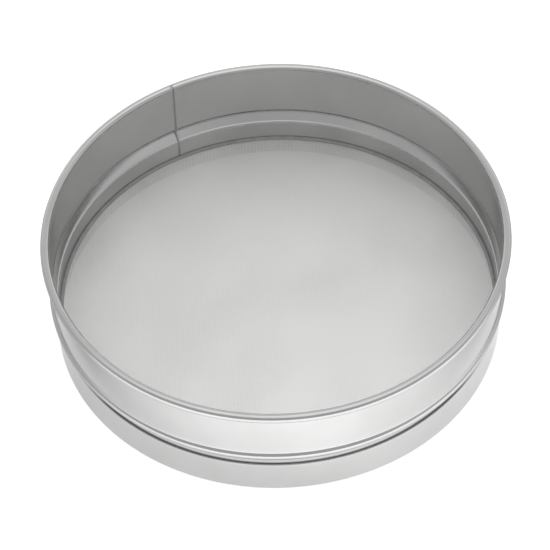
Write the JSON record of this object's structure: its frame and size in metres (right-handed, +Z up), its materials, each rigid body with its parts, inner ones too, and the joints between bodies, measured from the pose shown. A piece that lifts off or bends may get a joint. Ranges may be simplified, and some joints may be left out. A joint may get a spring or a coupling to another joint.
{
  "type": "test sieve",
  "caption": "Round laboratory test sieve: deep steel frame with curled rim, pressed bead and seam, a hemmed clamp ring below it, and fine woven wire cloth near the bottom",
  "frame": {"origin": "on the sieve's axis, in the plane that its lower edge stands on", "axes": "+Z up along the sieve's axis, out of its open top; the upright seam is at 116 degrees from +X towards +Y"},
  "size_m": [0.208, 0.208, 0.0545],
  "materials": {
    "sheet_steel": "satin, close to polished",
    "cloth_steel": "drawn wire, bright",
    "seal": "smooth cured resin"
  },
  "bodies": {
    "root": {"frame": "sheet_steel", "clamp_ring": "sheet_steel", "wire_cloth": "cloth_steel", "seal": "seal"}
  },
  "joints": []
}
